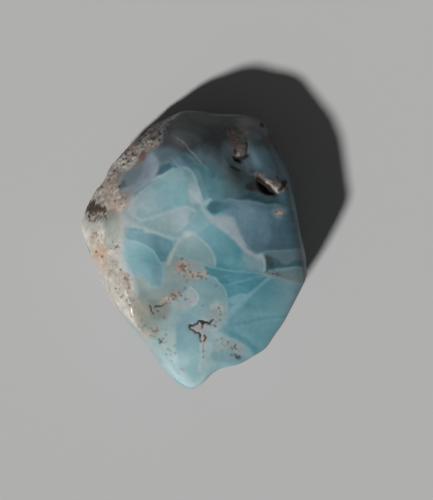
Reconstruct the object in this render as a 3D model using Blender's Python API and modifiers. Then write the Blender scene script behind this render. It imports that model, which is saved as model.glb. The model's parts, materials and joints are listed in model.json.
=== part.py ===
"""Larimar freeform: one tumbled piece of larimar, lying on its flat underside.

Metres, +Z up. The origin is the middle of the footprint, on the surface that the stone lies on.
+Y is the long way of the stone, towards its blunt end. The pointed tip is at -Y.
A block is cut to shape by the worn faces, hollowed where it is chipped, and then rounded all
over, as tumbling rounds a broken chunk. The two pits are cut last, so their rims stay crisp.
Bearings are in degrees from +X towards +Y, as seen from above. Tilts are in degrees from +Z.
"""

import math

import bmesh
import bpy
from mathutils import Matrix, Vector

MM = 0.001

# Driving dimensions
HEIGHT = 12.1 * MM  # of the crown over the middle
CHUNK_WIDTH = 40 * MM
CHUNK_LENGTH = 50 * MM
CHUNK_HEIGHT = 25 * MM

# Faces of the crown: bearing, how far from the middle it starts in mm, and tilt.
CROWN = {
    "top": (225, 0.0, 3),
    "crust_flank": (193, 7.7, 40),
    "crust_nose": (176, 8.6, 34),
    "crust_shoulder": (141, 9.2, 56),
    "blunt_dome": (62, 6.9, 12),
    "blunt_slope": (74, 10.6, 46),
    "blunt_left_slope": (104, 10.5, 49),
    "corner_steep": (51, 8.8, 35),
    "corner_slope": (33, 8.6, 30),
    "right_dome": (8, 5.0, 12),
    "right_slope": (10, 8.0, 27),
    "lower_right_dome": (322, 7.0, 11),
    "lower_right_slope": (326, 10.2, 34),
    "tip_dome": (268, 7.5, 12),
    "tip_slope": (268, 11.8, 32),
    "lower_left_slope": (221, 9.2, 44),
}

# Side faces, round the outline: bearing, distance of the rim from the middle in mm, rim height
# in mm, tilt of the face above the rim, and tilt of the undercut face below it.
SIDES = {
    "right": (12, 11.9, 4.3, 84, 113),
    "upper_right": (26, 13.15, 4.1, 81, 117),
    "blunt_corner": (50, 15.8, 3.8, 77, 118),
    "blunt_end": (85.5, 15.3, 4.9, 73, 116),
    "blunt_left": (98, 15.65, 5.5, 75, 113),
    "blunt_left_corner": (116, 15.7, 3.6, 71, 118),
    "upper_left": (131.4, 13.5, 2.8, 64, 120),
    "left_back": (149, 13.0, 3.2, 66, 120),
    "left_corner": (164, 13.25, 4.0, 73, 120),
    "left_end": (182, 12.7, 4.2, 71, 120),
    "left_nose": (199, 10.95, 5.0, 71, 116),
    "left_flank": (206.5, 10.6, 5.5, 73, 113),
    "lower_left": (216.8, 10.8, 5.0, 72, 116),
    "tip_left": (235, 13.7, 4.5, 70, 117),
    "tip": (262, 17.0, 4.4, 68, 115),
    "tip_right": (289, 15.7, 4.6, 69, 114),
    "lower_edge": (300.4, 13.3, 5.8, 74, 110),
    "lower_right": (326, 12.0, 8.2, 80, 99),
    "right_low": (334.3, 11.85, 8.0, 80, 99),
    "right_corner": (350, 12.55, 5.6, 84, 109),
}

# Slopes that lead from the flat underside up to the undercut faces: bearing, how far from the
# middle they start in mm, and tilt.
UNDER_SLOPES = {
    "under_right": (20, 9.3, 140),
    "under_blunt": (84, 12.6, 135),
    "under_left": (143, 9.6, 140),
    "under_nose": (188, 8.6, 139),
    "under_lower_left": (224, 8.0, 142),
    "under_tip": (270, 11.8, 136),
    "under_lower_right": (318, 9.8, 142),
}

# Grooves that run down the side: centre on the plan and radii, in mm.
GROOVES = {
    "lower_notch": ((3.7, -16.9), (3.4, 5.6)),
    "blunt_dip": ((3.2, 18.6), (5.0, 3.9)),
    "left_step": ((-11.7, 9.3), (2.4, 2.6)),
}

# Hollows of the surface: centre on the plan in mm, bearing of the long way, half its length,
# half its width and its depth in mm.
HOLLOWS = {
    "corner_trough": ((5.5, 9.3), -60, 2.6, 1.6, 0.75),
    "corner_trough_end": ((7.3, 6.9), -14, 2.8, 1.15, 0.8),
}

# Pits, given as the hollows are.
PITS = {
    "corner_pit": ((7.55, 7.68), -36, 1.0, 0.52, 1.1),
    "corner_pit_end": ((8.4, 7.2), -18, 0.6, 0.38, 0.8),
    "corner_pit_start": ((7.0, 8.15), -52, 0.55, 0.32, 0.7),
    "blunt_pit": ((4.95, 10.5), 6, 0.7, 0.34, 0.85),
    "blunt_pit_end": ((4.6, 11.2), 75, 0.65, 0.3, 0.5),
}

# Rounding
VOXEL = 0.4 * MM
SMOOTH_STEPS = 20
SMOOTH_FACTOR = 0.5
WAVE_LENGTH = 5.0 * MM
WAVE_DEPTH = 0.32 * MM
MESH_SHARE = 0.28  # of the rounded mesh's triangles that are kept

LARIMAR_BLUE = (0.32, 0.58, 0.64, 1.0)
SPARE = 1.0 * MM  # how far the chunk reaches below the underside until that is cut flat


def direction(bearing, tilt):
    turn, lean = math.radians(bearing), math.radians(tilt)
    outward = math.sin(lean)
    return Vector((math.cos(turn) * outward, math.sin(turn) * outward, math.cos(lean)))


def plan_point(bearing, distance, height):
    point = direction(bearing, 90) * distance * MM
    point.z = height
    return point


def height_on(face, point):
    """Height of a face's plane over a point of the plan."""
    on_face, normal = face
    across = point - on_face
    return on_face.z - (normal.x * across.x + normal.y * across.y) / normal.z


def upper_faces():
    """(point, outward normal) of each face that the stone shows from above."""
    top = Vector((0, 0, HEIGHT)), direction(*CROWN["top"][::2])
    faces = []
    for bearing, start, tilt in CROWN.values():
        edge = plan_point(bearing, start, 0)
        edge.z = height_on(top, edge)
        faces.append((edge, direction(bearing, tilt)))
    for bearing, distance, height, tilt, _ in SIDES.values():
        faces.append((plan_point(bearing, distance, height * MM), direction(bearing, tilt)))
    return faces


def lower_faces():
    faces = []
    for bearing, distance, height, _, tilt in SIDES.values():
        faces.append((plan_point(bearing, distance, height * MM), direction(bearing, tilt)))
    for bearing, start, tilt in UNDER_SLOPES.values():
        faces.append((plan_point(bearing, start, 0), direction(bearing, tilt)))
    return faces


def surface_at(x, y):
    """(point, normal) of the block's upper surface over a point of the plan in mm."""
    plan = Vector((x, y, 0)) * MM
    face = min(upper_faces(), key=lambda face: height_on(face, plan))
    plan.z = height_on(face, plan)
    return plan, face[1]


def cut_away(mesh, point, normal):
    """Removes what lies outside a plane, and closes the cut with one face."""
    everything = mesh.verts[:] + mesh.edges[:] + mesh.faces[:]
    cut = bmesh.ops.bisect_plane(
        mesh, geom=everything, dist=1e-7, plane_co=point, plane_no=normal, clear_outer=True
    )
    rim = [part for part in cut["geom_cut"] if isinstance(part, bmesh.types.BMEdge)]
    if rim:
        bmesh.ops.contextual_create(mesh, geom=rim)


def add_object(name, mesh, collection):
    data = bpy.data.meshes.new(name)
    mesh.to_mesh(data)
    mesh.free()
    made = bpy.data.objects.new(name, data)
    collection.objects.link(made)
    return made


def make_block(collection):
    """The chunk cut to its worn faces, before it is rounded."""
    mesh = bmesh.new()
    bmesh.ops.create_cube(mesh, size=1.0)
    size = Matrix.Diagonal((CHUNK_WIDTH, CHUNK_LENGTH, CHUNK_HEIGHT, 1))
    lift = Matrix.Translation((0, 0, CHUNK_HEIGHT / 2 - SPARE))
    bmesh.ops.transform(mesh, matrix=lift @ size, verts=mesh.verts)
    for point, normal in upper_faces() + lower_faces():
        cut_away(mesh, point, normal)
    bmesh.ops.recalc_face_normals(mesh, faces=mesh.faces)
    return add_object("larimar_stone", mesh, collection)


def make_cutter(name, mesh, collection):
    cutter = add_object(name, mesh, collection)
    cutter.hide_render = True
    cutter.display_type = "WIRE"
    return cutter


def make_ball(name, radii, place, collection):
    """A cutter: a ball drawn out to three radii in mm, and placed."""
    mesh = bmesh.new()
    bmesh.ops.create_icosphere(mesh, subdivisions=3, radius=MM)
    bmesh.ops.transform(mesh, matrix=place @ Matrix.Diagonal((*radii, 1)), verts=mesh.verts)
    return make_cutter(name, mesh, collection)


def make_groove(name, centre, radii, collection):
    place = Matrix.Translation((centre[0] * MM, centre[1] * MM, HEIGHT / 2))
    return make_ball(name, (*radii, 3 * HEIGHT / MM), place, collection)


def make_hollow(name, shape, collection):
    (x, y), bearing, half_length, half_width, depth = shape
    point, normal = surface_at(x, y)
    upright = normal.to_track_quat("Z", "X").to_matrix().to_4x4()
    along = upright.inverted() @ direction(bearing, 90)
    turn = Matrix.Rotation(math.atan2(along.y, along.x), 4, "Z")
    place = Matrix.Translation(point) @ upright @ turn
    return make_ball(name, (half_length, half_width, depth), place, collection)


def make_table(collection):
    """Everything below the underside."""
    mesh = bmesh.new()
    bmesh.ops.create_cube(mesh, size=1.0)
    depth = 10 * SPARE
    size = Matrix.Diagonal((1.5 * CHUNK_WIDTH, 1.5 * CHUNK_LENGTH, depth, 1))
    sink = Matrix.Translation((0, 0, -depth / 2))
    bmesh.ops.transform(mesh, matrix=sink @ size, verts=mesh.verts)
    return make_cutter("table", mesh, collection)


def subtract(stone, cutter):
    boolean = stone.modifiers.new("cut_" + cutter.name, "BOOLEAN")
    boolean.operation = "DIFFERENCE"
    boolean.object = cutter


def round_off(stone):
    """Tumbling: the edges are worn round, and the faces are left slightly wavy."""
    remesh = stone.modifiers.new("even_mesh", "REMESH")
    remesh.mode = "VOXEL"
    remesh.voxel_size = VOXEL
    remesh.use_smooth_shade = True
    smooth = stone.modifiers.new("worn_edges", "SMOOTH")
    smooth.factor = SMOOTH_FACTOR
    smooth.iterations = SMOOTH_STEPS
    waves = bpy.data.textures.new("waves", "CLOUDS")
    waves.noise_scale = WAVE_LENGTH
    waves.noise_depth = 1
    displace = stone.modifiers.new("wavy_faces", "DISPLACE")
    displace.texture = waves
    displace.strength = WAVE_DEPTH
    displace.mid_level = 0.5
    decimate = stone.modifiers.new("fewer_faces", "DECIMATE")
    decimate.ratio = MESH_SHARE


def polish(stone):
    material = bpy.data.materials.new("polished_larimar")
    material.use_nodes = True
    surface = material.node_tree.nodes["Principled BSDF"]
    surface.inputs["Base Color"].default_value = LARIMAR_BLUE
    surface.inputs["Roughness"].default_value = 0.22
    surface.inputs["Metallic"].default_value = 0.0
    stone.data.materials.append(material)


def centre_on_origin(stone, others):
    """Moves everything so that the middle of the stone's box is over the origin."""
    bpy.context.view_layer.update()
    graph = bpy.context.evaluated_depsgraph_get()
    corners = [Vector(corner) for corner in stone.evaluated_get(graph).bound_box]
    low, high = corners[0], corners[6]
    middle = (low + high) / 2
    for moved in (stone, *others):
        moved.location -= Vector((middle.x, middle.y, 0))


def main():
    for leftover in list(bpy.data.objects):
        bpy.data.objects.remove(leftover)
    collection = bpy.data.collections.new("larimar")
    cutters = bpy.data.collections.new("cutters")
    bpy.context.scene.collection.children.link(collection)
    bpy.context.scene.collection.children.link(cutters)
    stone = make_block(collection)
    for name, (centre, radii) in GROOVES.items():
        subtract(stone, make_groove(name, centre, radii, cutters))
    for name, shape in HOLLOWS.items():
        subtract(stone, make_hollow(name, shape, cutters))
    round_off(stone)
    for name, shape in PITS.items():
        subtract(stone, make_hollow(name, shape, cutters))
    subtract(stone, make_table(cutters))
    polish(stone)
    centre_on_origin(stone, cutters.objects)


main()
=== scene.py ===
import json
import math

import bmesh
import bpy
import numpy as np
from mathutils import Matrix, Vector

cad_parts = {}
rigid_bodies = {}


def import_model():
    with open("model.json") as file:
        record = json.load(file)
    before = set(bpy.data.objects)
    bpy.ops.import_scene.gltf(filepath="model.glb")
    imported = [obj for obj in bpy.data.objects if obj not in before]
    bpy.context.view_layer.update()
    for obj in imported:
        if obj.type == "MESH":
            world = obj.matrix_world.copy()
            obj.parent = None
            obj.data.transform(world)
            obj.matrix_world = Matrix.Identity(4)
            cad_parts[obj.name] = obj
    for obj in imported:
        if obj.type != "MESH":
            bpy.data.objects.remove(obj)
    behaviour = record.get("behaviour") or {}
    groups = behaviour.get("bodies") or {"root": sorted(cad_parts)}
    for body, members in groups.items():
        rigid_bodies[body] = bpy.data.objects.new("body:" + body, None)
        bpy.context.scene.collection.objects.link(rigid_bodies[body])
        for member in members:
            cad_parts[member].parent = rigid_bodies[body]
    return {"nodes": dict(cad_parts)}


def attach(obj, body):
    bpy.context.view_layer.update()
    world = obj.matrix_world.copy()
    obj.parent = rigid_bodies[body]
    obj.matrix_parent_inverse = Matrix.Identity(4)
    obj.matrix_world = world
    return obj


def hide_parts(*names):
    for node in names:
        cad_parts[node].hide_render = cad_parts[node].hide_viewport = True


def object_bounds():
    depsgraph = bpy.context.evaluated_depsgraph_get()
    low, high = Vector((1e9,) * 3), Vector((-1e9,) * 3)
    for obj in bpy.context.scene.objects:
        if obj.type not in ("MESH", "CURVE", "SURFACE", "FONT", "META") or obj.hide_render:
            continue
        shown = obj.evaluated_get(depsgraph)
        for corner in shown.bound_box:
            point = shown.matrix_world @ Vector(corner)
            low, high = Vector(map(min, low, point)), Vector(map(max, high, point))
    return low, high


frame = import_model()
cadBounds = [list(corner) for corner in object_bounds()]
mm = 0.001
print("frame loaded, highest corner in mm:", [round(side / mm, 2) for side in cadBounds[1]])


def linearOf(hexColour):
    # sRGB hex to the linear colour that the shaders take
    channels = [int(hexColour[i:i + 2], 16) / 255 for i in (1, 3, 5)]
    lin = [c / 12.92 if c <= 0.04045 else ((c + 0.055) / 1.055) ** 2.4 for c in channels]
    return (*lin, 1.0)


def addNode(tree, kind, out, inputs, **settings):
    # inputs: socket -> its value or the output that feeds it; gives back the output called out
    node = tree.nodes.new(kind)
    for name, value in settings.items():
        setattr(node, name, value)
    for socket, value in inputs.items():
        if isinstance(value, bpy.types.NodeSocket):
            tree.links.new(value, node.inputs[socket])
        else:
            node.inputs[socket].default_value = value
    return node.outputs[out]


# the bench view: the eye leans towards +Y past the vertical
bench = {
    "aim": (2.52, 0.21, 4.5),     # mm, the point looked at
    "distance": 94.6,             # mm from the eye to it
    "lean": 9.0,                  # degrees past the vertical
    "lens": 62.0,                 # mm
    "film": 36.0,                 # mm
    "clip": (0.001, 10),          # m, the nearest and farthest thing in view
    "wide": 433,                  # the view in steps; a step is about 0.11 mm on the stone
    "high": 500,
}


def benchEye():
    lean = math.radians(bench["lean"])
    back = np.array((0.0, math.sin(lean), math.cos(lean)))
    return np.array(bench["aim"]) + bench["distance"] * back, back


def stepsOf(points):
    # points in mm -> steps right and down from the view's upper left corner
    eye, back = benchEye()
    up = np.array((0.0, back[2], -back[1]))
    away = points - eye
    scale = bench["lens"] / bench["film"] * bench["high"] / -(away @ back)
    return np.stack([bench["wide"] / 2 + away[:, 0] * scale, bench["high"] / 2 - (away @ up) * scale], 1)


# the stone's body
body = {
    "voxel": 0.12,           # mm, fine enough for the pits and cracks
    "weld": 0.0001,          # mm
    "softRounds": 22,        # rounds the facets off
    "wornRounds": 160,       # rounds the edges below the waist further
    "softShare": 0.5,
    "wornFrom": 0.02,        # faces turned less up than this are worn further,
    "wornOver": 0.3,         # and in full where they are turned this much further down
    "wornStages": (0.25, 0.5, 0.75, 1.0),
    "coarseFrom": 0.12,      # faces turned less up than this may be coarser
    "coarseFactor": 1000,
    "footLevel": 0.05,       # mm, below it the underside stays flat
    "unevenness": 0.008,     # mm, keeps the coarser faces alike in size
    "seed": 3,
    "mostTriangles": 192000,
}


def pointsOf(mesh, normal=False):
    source = mesh.vertex_normals if normal else mesh.vertices
    got = np.empty(len(source) * 3, np.float32)
    source.foreach_get("vector" if normal else "co", got)
    return got.reshape(-1, 3).astype(float)


def applied(thing):
    # the thing's mesh becomes what its modifiers make of it
    graph = bpy.context.evaluated_depsgraph_get()
    mesh = bpy.data.meshes.new_from_object(thing.evaluated_get(graph), depsgraph=graph)
    thing.modifiers.clear()
    thing.data = mesh
    return mesh


def addSmooth(thing, rounds, group=""):
    smooth = thing.modifiers.new("smooth", "SMOOTH")
    smooth.iterations = rounds
    smooth.factor = body["softShare"]
    smooth.vertex_group = group


def fineStone(node):
    # a merged copy of the node, remeshed fine and rounded, and coarser where it faces down
    mesh = node.data.copy()
    work = bmesh.new()
    work.from_mesh(mesh)
    bmesh.ops.remove_doubles(work, verts=work.verts, dist=body["weld"] * mm)
    work.to_mesh(mesh)
    work.free()
    stone = bpy.data.objects.new("larimarStone", mesh)
    bpy.context.scene.collection.objects.link(stone)
    remesh = stone.modifiers.new("fine", "REMESH")
    remesh.mode = "VOXEL"
    remesh.voxel_size = body["voxel"] * mm
    addSmooth(stone, body["softRounds"])
    facing = pointsOf(applied(stone), normal=True)[:, 2]
    below = stone.vertex_groups.new(name="below")
    for share in body["wornStages"]:
        turned = facing < body["wornFrom"] - body["wornOver"] * share
        below.add(np.nonzero(turned)[0].tolist(), share, "REPLACE")
    addSmooth(stone, body["wornRounds"], "below")
    coarse = stone.vertex_groups.new(name="coarse")
    coarse.add(np.nonzero(facing < body["coarseFrom"])[0].tolist(), 1.0, "REPLACE")
    worn = applied(stone)
    places = pointsOf(worn)
    side = (pointsOf(worn, normal=True)[:, 2] < body["coarseFrom"]) & (places[:, 2] > body["footLevel"] * mm)
    places[side] += np.random.default_rng(body["seed"]).normal(0, body["unevenness"] * mm, (side.sum(), 3))
    worn.vertices.foreach_set("co", places.astype(np.float32).ravel())
    fewer = stone.modifiers.new("fewer", "DECIMATE")
    fewer.ratio = body["mostTriangles"] / (2 * len(worn.polygons))
    fewer.vertex_group = "coarse"
    fewer.vertex_group_factor = body["coarseFactor"]
    applied(stone)
    stone.vertex_groups.clear()
    return stone


stone = fineStone(frame["nodes"]["larimar_stone"])
print("stone body:", 2 * len(stone.data.vertices) - 4, "triangles")

# the markings, laid out on the bench view in steps
points = pointsOf(stone.data) / mm
normals = pointsOf(stone.data, normal=True)
noiseSide = 32         # cells along a side of the noise before it repeats
noiseShift = 16.37     # keeps the stone's middle off the noise's first cell


def softNoise(places, size, seed):
    # smooth random values from 0 to 1, with blobs about this size in mm
    lattice = np.random.default_rng(seed).random((noiseSide, noiseSide, noiseSide))
    q = places / size + noiseShift
    low = np.floor(q).astype(int)
    f = q - low
    f = f * f * (3 - 2 * f)
    total = np.zeros(len(places))
    for dx in (0, 1):
        for dy in (0, 1):
            for dz in (0, 1):
                i, j, k = (low + (dx, dy, dz)).T % noiseSide
                weight = np.abs(1 - dx - f[:, 0]) * np.abs(1 - dy - f[:, 1]) * np.abs(1 - dz - f[:, 2])
                total += weight * lattice[i, j, k]
    return total


def ease(value, start, end):
    # 0 before start, 1 after end, smooth between
    t = np.clip((value - start) / (end - start), 0, 1)
    return t * t * (3 - 2 * t)


def smoothPath(corners, closed, fine=6):
    # a rounded path through the corners
    p = np.array(corners, float)
    n = len(p)
    out = []
    for i in range(n if closed else n - 1):
        if closed:
            a, b, c, d = p[(i - 1) % n], p[i], p[(i + 1) % n], p[(i + 2) % n]
        else:
            a, b, c, d = p[max(i - 1, 0)], p[i], p[i + 1], p[min(i + 2, n - 1)]
        for t in np.linspace(0, 1, fine, endpoint=False):
            out.append(0.5 * (2 * b + (c - a) * t + (2 * a - 5 * b + 4 * c - d) * t * t
                              + (3 * b - a - 3 * c + d) * t ** 3))
    if not closed:
        out.append(p[-1])
    return np.array(out)


farOff = 1e9
tiny = 1e-9


def distanceTo(places, path, closed):
    # each place's distance to the path, and how far along it that is, from 0 to 1
    ends = np.roll(path, -1, 0) if closed else path[1:]
    starts = path if closed else path[:-1]
    best = np.full(len(places), farOff)
    along = np.zeros(len(places))
    for i, (a, b) in enumerate(zip(starts, ends)):
        line = b - a
        t = np.clip(((places - a) @ line) / max(line @ line, tiny), 0, 1)
        gap = np.hypot(*(places - a - t[:, None] * line).T)
        nearer = gap < best
        best = np.where(nearer, gap, best)
        along = np.where(nearer, (i + t) / len(starts), along)
    return best, along


def insideOf(places, path):
    inside = np.zeros(len(places), bool)
    for a, b in zip(path, np.roll(path, -1, 0)):
        crosses = (a[1] > places[:, 1]) != (b[1] > places[:, 1])
        x = a[0] + (places[:, 1] - a[1]) * (b[0] - a[0]) / (b[1] - a[1] if b[1] != a[1] else tiny)
        inside ^= crosses & (places[:, 0] < x)
    return inside


# how the marks' edges waver: the size in mm of what bends them, and how far it does in steps
edges = {
    "warp": 1.7,
    "warpBy": 2.4,
    "warpSeeds": (11, 12),
    "flutter": 0.45,
    "flutterBy": 1.2,
    "flutterSeeds": (13, 14),
    "crispBy": 0.9,                        # all that a crisp mark wavers
    "tatters": ((0.9, 2.2), (0.35, 1.6)),  # for ragged marks
    "tatterSeed": 15,
    "raggedReach": 1.5,                    # steps that tatters can add, for each 1 of ragged
    "spare": 1,                            # steps
    "seenFrom": (-0.02, 0.16),             # how far a face is turned to the eye where marks fade in
    "dotsFrom": (0.15, 0.45),              # the same for small dots, which would stretch on the steep flank
    "pitsFrom": (5, 6),                    # mm, the marks of the pits are laid above this height
}
eye, _ = benchEye()
toEye = eye - points
toEye /= np.linalg.norm(toEye, axis=1)[:, None]
facing = (normals * toEye).sum(1)
seen = ease(facing, *edges["seenFrom"])
plain = stepsOf(points)
warp = np.stack([softNoise(points, edges["warp"], seed) for seed in edges["warpSeeds"]], 1) - 0.5
flutter = np.stack([softNoise(points, edges["flutter"], seed) for seed in edges["flutterSeeds"]], 1) - 0.5
steps = plain + edges["warpBy"] * warp + edges["flutterBy"] * flutter
crispSteps = plain + edges["crispBy"] * flutter
tatter = 0
for i, (size, by) in enumerate(edges["tatters"]):
    tatter += by * (softNoise(points, size, edges["tatterSeed"] + i) - 0.5)

# what every point of the surface is, each from 0 to 1
amounts = {
    "deep": 0.55,    # pale milk to deep teal; it also carries painted shade beyond the crest
    "grey": 0.3,     # takes the blue out
    "sage": 0.0,     # green-grey
    "lilac": 0.0,    # slate and lilac
    "crust": 0.0,    # the unpolished rind
    "dark": 0.25,    # how dark the rind is
    "rust": 0.0,     # iron stain
    "blush": 0.0,    # pinkish stain
    "soot": 0.0,     # black manganese in cracks and specks, and painted shade in and under the pits' lips
    "specks": 0.0,   # fine brown and black specks
    "flecks": 0.0,   # fine pale flecks
    "rough": 0.0,    # how uneven the rind is
    "shine": 0.6,    # polish
}
amounts = {name: np.full(len(points), value) for name, value in amounts.items()}
relief = np.zeros(len(points))     # mm outwards
everywhere = slice(None)
markSeen = seen


def lay(some, mask, target, run=0.0, depth=0.0):
    # moves the amounts towards the target's where the mask is; a pair of values goes with run from 0 to 1
    for name, value in target.items():
        start, end = value if isinstance(value, tuple) else (value, value)
        amounts[name][some] += mask * (start + (end - start) * run - amounts[name][some])
    relief[some] -= mask * depth


def near(path, reach, ragged, crisp):
    # the points within reach of the path, and where they are in steps
    pool = crispSteps if crisp else steps
    reach += edges["raggedReach"] * ragged + edges["spare"]
    low, high = path.min(0) - reach, path.max(0) + reach
    some = np.nonzero(((pool > low) & (pool < high)).all(1) & (markSeen > 0))[0]
    return some, pool[some]


def fading(some, gap, half, soft, ragged, strength):
    # full where the gap is under half, and fading out across the edge there
    gap = gap + ragged * tatter[some]
    return (1 - ease(gap, half - soft, half + soft)) * markSeen[some] * strength


def layCell(edge, soft=2.0, way=None, crisp=False, ragged=0.0, strength=1.0, **target):
    # a closed patch; a pair of values runs between the two places of way
    path = smoothPath(edge, True)
    some, places = near(path, soft, ragged, crisp)
    gap, _ = distanceTo(places, path, True)
    gap = np.where(insideOf(places, path), -gap, gap)
    run = 0.0
    if way:
        a, b = np.array(way, float)
        run = ease(((places - a) @ (b - a)) / ((b - a) @ (b - a)), 0, 1)
    lay(some, fading(some, gap, 0, soft, ragged, strength), target, run)


def layVein(path, wide=2.0, soft=1.0, strength=1.0, crisp=False, depth=0.0, ends=0.0, ragged=0.0, **target):
    # a line of this width; a pair of widths runs from its start to its end, and ends is the share that fades
    path = smoothPath(path, False)
    first, last = wide if isinstance(wide, tuple) else (wide, wide)
    some, places = near(path, max(first, last) / 2 + soft, ragged, crisp)
    gap, along = distanceTo(places, path, False)
    mask = fading(some, gap, (first + (last - first) * along) / 2, soft, ragged, strength)
    if ends:
        mask *= ease(along, 0, ends) * (1 - ease(along, 1 - ends, 1))
    lay(some, mask, target, depth=depth)


def laySpots(spots, soft=0.8, strength=1.0, depth=0.0, crisp=True, ragged=0.0, **target):
    # round spots: right, down, radius
    for x, y, radius in spots:
        some, places = near(np.array([[x, y]], float), radius + soft, ragged, crisp)
        gap = np.hypot(*(places - (x, y)).T)
        lay(some, fading(some, gap, radius, soft, ragged, strength), target, depth=depth)


dots = {"seedStep": 7, "spread": 0.5, "soft": 0.7, "ragged": 0.5, "faintest": 0.35, "stronger": 0.5}


def layScatter(x, y, long, short, turn, count, radius=(0.6, 1.2), **look):
    # small dots thrown round a place; turn is in degrees down to the right
    draw = np.random.default_rng(int(x * dots["seedStep"] + y))
    c, s = math.cos(math.radians(turn)), math.sin(math.radians(turn))
    along, across = draw.normal(0, dots["spread"], (2, count))
    for a, b, share in zip(along * long, across * short, draw.uniform(0, 1, count)):
        size = radius[0] + (radius[1] - radius[0]) * share
        laySpots([(x + a * c - b * s, y + a * s + b * c, size)], soft=dots["soft"], ragged=dots["ragged"],
                 strength=dots["faintest"] + dots["stronger"] * share, **look)


# under and round the sides: cells with pale veins between, and rind on the left flank
ground = {
    "seed": 5,
    "cells": 170,
    "low": (-14, -17, -2),       # mm, the block that the cells fill
    "high": (14, 17, 13),
    "tones": (0.4, 0.88),
    "bend": (3.0, 1.6),          # mm, the size of the bends in the cells' edges, and how far they go
    "bendSeeds": (21, 22, 23),
    "tall": 1.15,                # cells are this much lower than wide
    "vein": (0.15, 0.8),         # mm, from full to none
    "veinMost": 0.85,
    "veinLook": {"deep": 0.26, "grey": 0.4},
    "stainLook": {"rust": 0.25, "specks": 0.35, "crust": 0.45},
    "wobble": (3.2, 1.2),        # mm, how far the coarse and the fine wobble bend the rind's edge
    # the blunt end turns grey and dark: partly the stone's own smoky grey, partly painted shade where that
    # end faces away from the key light
    "smokeAndShade": (9.5, 13.0),        # mm towards the blunt end
    "smokeAndShadeLean": 0.35,           # how much that leans to the right
    "smokeAndShadeMost": 0.9,
    "smokeAndShadeLook": {"deep": 0.93, "grey": 0.8},
    "rind": (5.2, 7.4),          # mm towards the left flank
    "rindWay": (0.9, 0.12, 0.1),  # left, towards the blunt end, and down
    "rindLook": {"crust": 1.0, "shine": 0.1},
    "rough": (-6, -2),           # mm towards the blunt end, where the rind turns rough
    "roughMost": 0.85,
    "footLevel": 3.0,            # mm, the patches of rind along the foot start under it
    "foot": (0.6, 2.4),          # mm below that
    "footWobble": 1.4,
    "footMost": 0.85,
    "toneBy": 0.12,
    "grey": (0.15, 0.3),         # the least, and how much more with its noise
    "dark": (0.18, 0.5),
    "rust": 0.7,
    "blush": 0.5,
    "noises": {                  # size in mm, and seed
        "tone": (4.0, 24),
        "grey": (5.0, 25),
        "vein": (3.5, 26),
        "stain": (2.0, 33),
        "coarse": (2.6, 27),
        "fine": (0.8, 28),
        "foot": (3.8, 29),
        "dark": (2.2, 30),
        "rust": (1.5, 31),
        "blush": (2.0, 32),
    },
    "patches": {                 # the noise at which each starts, and is full
        "vein": (0.2, 0.5),
        "stain": (0.6, 0.75),
        "foot": (0.42, 0.62),
        "dark": (0.45, 0.85),
        "rust": (0.72, 0.9),
        "blush": (0.6, 0.85),
    },
}


def layGround():
    draw = np.random.default_rng(ground["seed"])
    seeds = draw.uniform(ground["low"], ground["high"], (ground["cells"], 3))
    tones = draw.uniform(*ground["tones"], len(seeds))
    size, far = ground["bend"]
    bends = [softNoise(points, size, seed) for seed in ground["bendSeeds"]]
    bent = (points + far * (np.stack(bends, 1) - 0.5)) * (1, 1, ground["tall"])
    first = np.full(len(points), farOff)
    second = np.full(len(points), farOff)
    tone = np.zeros(len(points))
    for seed, value in zip(seeds, tones):
        gap = np.linalg.norm(bent - seed, axis=1)
        nearer = gap < first
        second = np.where(nearer, first, np.minimum(second, gap))
        tone = np.where(nearer, value, tone)
        first = np.where(nearer, gap, first)
    noise = {name: softNoise(points, size, seed) for name, (size, seed) in ground["noises"].items()}
    patch = {name: ease(noise[name], *span) for name, span in ground["patches"].items()}
    amounts["deep"][:] = tone + ground["toneBy"] * (noise["tone"] - 0.5)
    least, more = ground["grey"]
    amounts["grey"][:] = least + more * noise["grey"]
    vein = (1 - ease(second - first, *ground["vein"])) * patch["vein"]
    lay(everywhere, ground["veinMost"] * vein, ground["veinLook"])
    lay(everywhere, vein * patch["stain"], ground["stainLook"])
    x, y, z = points.T
    coarse, fine = ground["wobble"]
    wobble = coarse * (noise["coarse"] - 0.5) + fine * (noise["fine"] - 0.5)
    # greyer and darker towards the blunt end: partly its own smoky grey, partly painted shade
    smokeAndShade = ease(y + ground["smokeAndShadeLean"] * x + wobble, *ground["smokeAndShade"])
    lay(everywhere, smokeAndShade * ground["smokeAndShadeMost"], ground["smokeAndShadeLook"])
    left, blunt, down = ground["rindWay"]
    rind = ease(-x * left + y * blunt - z * down + wobble, *ground["rind"])
    foot = ease(ground["footLevel"] - z + ground["footWobble"] * wobble, *ground["foot"])
    rind = np.maximum(rind, ground["footMost"] * (foot * patch["foot"]))
    rough = ground["roughMost"] * ease(y + wobble, *ground["rough"])
    lay(everywhere, rind, {**ground["rindLook"], "rough": rough})
    least, more = ground["dark"]
    amounts["dark"][:] = least + more * patch["dark"]
    amounts["rust"][:] = ground["rust"] * patch["rust"] * rind
    amounts["blush"][:] = ground["blush"] * patch["blush"] * rind


layGround()

# the polished face, broad tones first
cleanFace = {"crust": 0.0, "rough": 0.0, "rust": 0.0, "blush": 0.0, "specks": 0.0, "flecks": 0.0}
layCell([(118, 185), (150, 150), (200, 158), (250, 178), (302, 190), (316, 270), (266, 366), (190, 402),
    (138, 338), (116, 280)], soft=4, deep=0.45, grey=0.3, shine=0.7, **cleanFace)
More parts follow.
